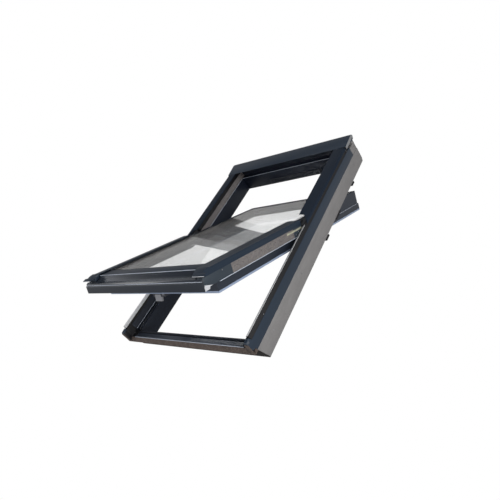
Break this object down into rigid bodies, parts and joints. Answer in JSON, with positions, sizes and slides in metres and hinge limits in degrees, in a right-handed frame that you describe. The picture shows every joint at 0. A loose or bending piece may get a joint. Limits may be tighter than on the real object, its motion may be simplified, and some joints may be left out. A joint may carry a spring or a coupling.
{
  "type": "roof window",
  "caption": "Centre-pivot roof window in its frame, the sash held part open, with dark metal covers, double glazing, a top hood, a vent grille and a handle at the foot of the sash.",
  "frame": {"origin": "middle of the frame's back face, which lies against the roof: x and y at the middle of the frame walls, z at their back edge", "axes": "+X to the right seen from outside, +Y up the slope towards the hood, +Z out of the roof, square to the frame"},
  "size_m": [0.786, 1.201, 0.6131],
  "materials": {
    "frame_core": "matt grey cellular plastic, lightly mottled",
    "lining": "satin dark blue-grey film",
    "cladding": "satin anthracite coated aluminium",
    "cover_dark": "satin near-black coated aluminium",
    "strip_light": "satin light grey seal strip",
    "infill": "coarse grey-brown mineral infill",
    "black_plastic": "matt black plastic",
    "seal": "soft black gasket",
    "bare_end": "bare brushed metal end plate",
    "sill_film": "satin dark blue stepped profile",
    "sill_brown": "coarse brown-grey face",
    "sill_under": "dark brown-black underside",
    "hinge_metal": "worn yellow-passivated steel",
    "hinge_dark": "dark passivated steel",
    "vent": "satin dark grey moulding",
    "vent_knob": "satin grey moulding",
    "zinc": "zinc-plated steel",
    "sash_rail": "satin dark blue-grey film",
    "glass_outer": "clear float glass",
    "glass_inner": "clear float glass",
    "spacer": "dark warm-edge spacer",
    "sash_cover": "satin anthracite coated aluminium",
    "front_gloss": "glossy anthracite coated aluminium",
    "apron": "satin anthracite coated aluminium",
    "side_plate": "smooth dark moulding",
    "cap_white": "smooth white moulding",
    "flange_light": "satin light blue-grey film",
    "trim_light": "satin grey trim",
    "handle_grey": "satin light grey paint",
    "handle_dark": "satin dark grey paint"
  },
  "bodies": {
    "frame": {"frame_side_left": "frame_core", "frame_side_right": "frame_core", "frame_top": "frame_core", "frame_bottom": "frame_core", "lining_left": "lining", "lining_right": "lining", "lining_top": "lining", "lining_bottom": "lining", "cladding_left": "cladding", "cladding_right": "cladding", "cover_rail_left": "black_plastic", "cover_rail_right": "black_plastic", "side_cover_left": "cover_dark", "side_cover_right": "cover_dark", "light_strip_left": "strip_light", "light_strip_right": "strip_light", "infill_frame_left": "infill", "infill_frame_right": "infill", "cover_carriers": "black_plastic", "top_hood": "cladding", "hood_ends": "bare_end", "sill_profile": "sill_film", "sill_face": "sill_brown", "sill_edge": "sill_under", "rebate_seals": "seal", "corner_blocks": "black_plastic", "hinge_plate_left": "hinge_dark", "hinge_plate_right": "hinge_dark", "vent_grille": "vent", "striker_plate": "zinc", "fixing_clips": "black_plastic", "frame_screws": "zinc"},
    "sash": {"sash_side_left": "sash_rail", "sash_side_right": "sash_rail", "sash_top": "sash_rail", "sash_bottom": "sash_rail", "outer_pane": "glass_outer", "inner_pane": "glass_inner", "spacer": "spacer", "glazing_seal": "seal", "sash_cover_left": "sash_cover", "sash_cover_right": "sash_cover", "upper_beads": "cover_dark", "front_ledge": "sash_cover", "front_dish": "front_gloss", "apron": "apron", "infill_sash_left": "infill", "infill_sash_right": "infill", "side_plate_left": "side_plate", "side_plate_right": "side_plate", "corner_caps": "cap_white", "flange_rails": "flange_light", "lip_trims": "trim_light", "hinge_arms": "hinge_dark", "friction_rails": "hinge_metal", "sash_screws": "zinc", "handle_rose": "handle_dark"},
    "vent_slider": {"vent_slider": "vent_knob"},
    "handle": {"handle_lever": "handle_grey"},
    "latch": {"latch_bolt": "zinc"}
  },
  "joints": [
    {"name": "sash_pivot", "type": "hinge", "parent": "frame", "child": "sash", "pos_m": [0, 0.02, 0.132], "axis": [-1, 0, 0], "range_deg": [-27.47, 99.5]},
    {"name": "vent_slide", "type": "slide", "parent": "frame", "child": "vent_slider", "axis": [-1, 0, 0], "range_m": [0, 0.02]},
    {"name": "handle_turn", "type": "hinge", "parent": "sash", "child": "handle", "pos_m": [-0.022, -0.50926, 0.29333], "axis": [1, 0, 0], "range_deg": [0, 40]},
    {"name": "latch_slide", "type": "slide", "parent": "sash", "child": "latch", "axis": [0, -0.8873, 0.4613], "range_m": [0, 0.006]}
  ],
  "couplings": [
    {"joint": "latch_slide", "follows": "handle_turn", "m_per_rad": 0.0084511}
  ]
}
